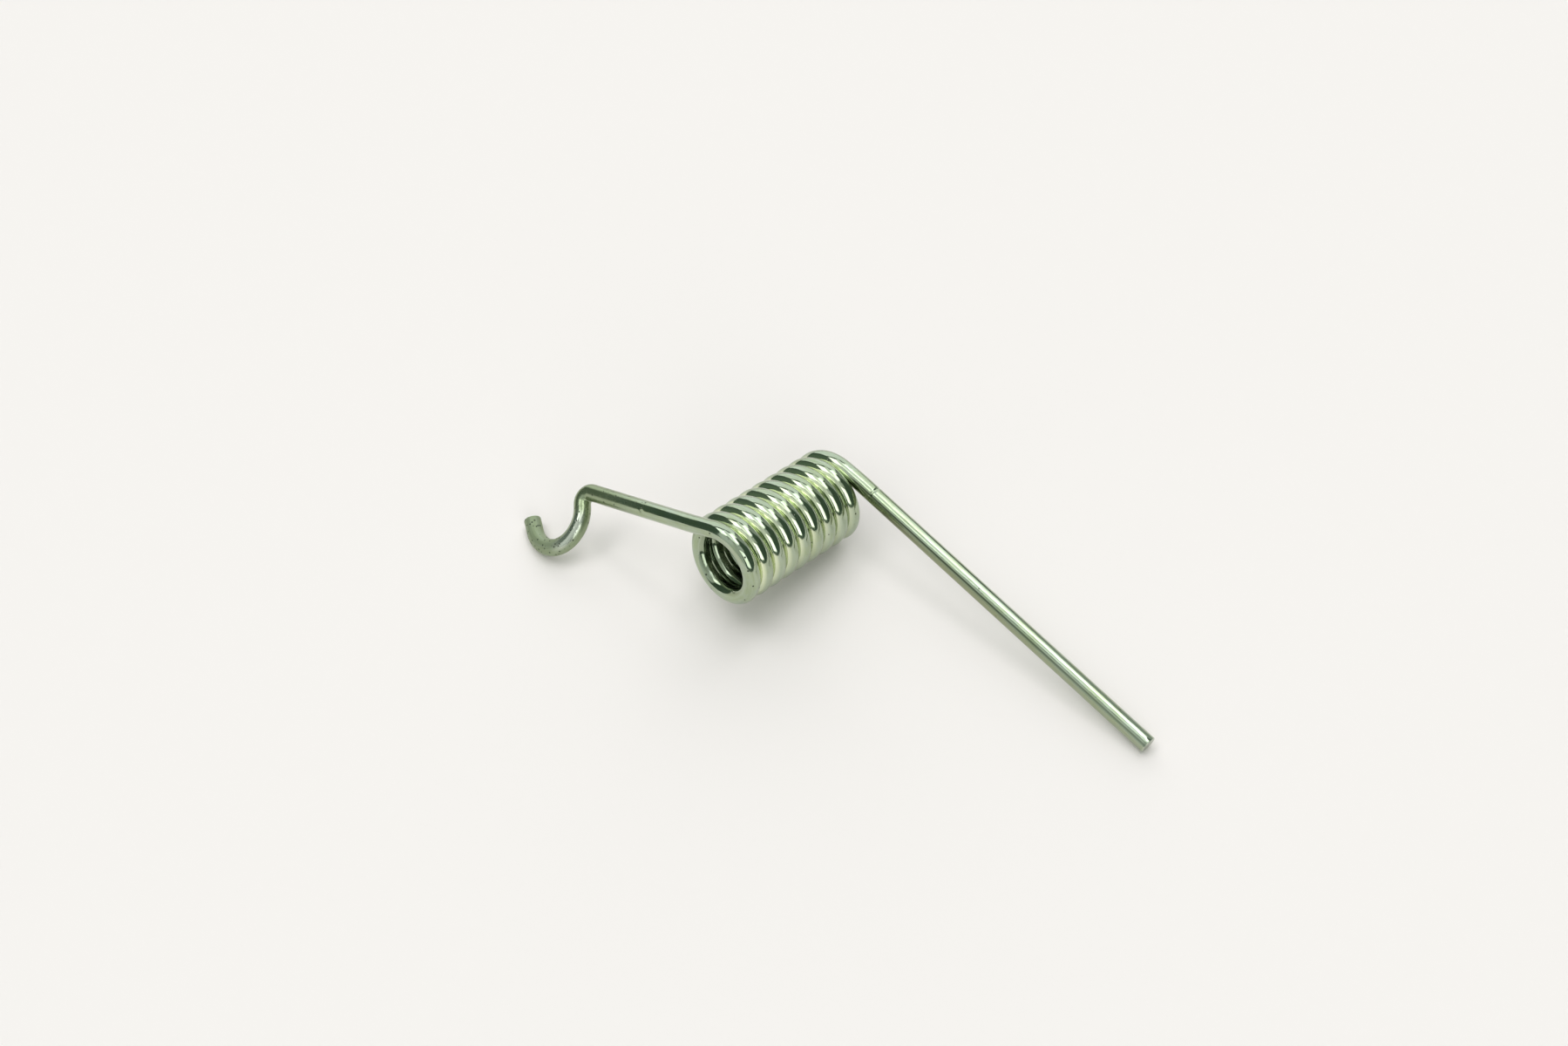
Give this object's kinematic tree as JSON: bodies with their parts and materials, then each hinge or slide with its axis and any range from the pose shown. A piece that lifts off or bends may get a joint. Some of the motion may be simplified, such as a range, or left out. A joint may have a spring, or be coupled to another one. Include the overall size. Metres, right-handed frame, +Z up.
{
  "type": "torsion spring",
  "caption": "Close-wound round-wire torsion spring with one long straight leg and one hooked leg; it turns about a pin and pushes its legs apart or together.",
  "frame": {"origin": "on the table, below the middle of the spring's box as it lies at rest", "axes": "+Z up from the table that the spring lies on; +X along the spring's length, to the side of the long leg; +Y back along the coil, away from the hook"},
  "size_m": [0.109, 0.0432, 0.0222],
  "materials": {
    "plated_wire": "bright zinc plating on drawn spring wire, pale grey with a slight green-yellow cast"
  },
  "bodies": {
    "root": {"torsion_spring": "plated_wire"}
  },
  "joints": []
}
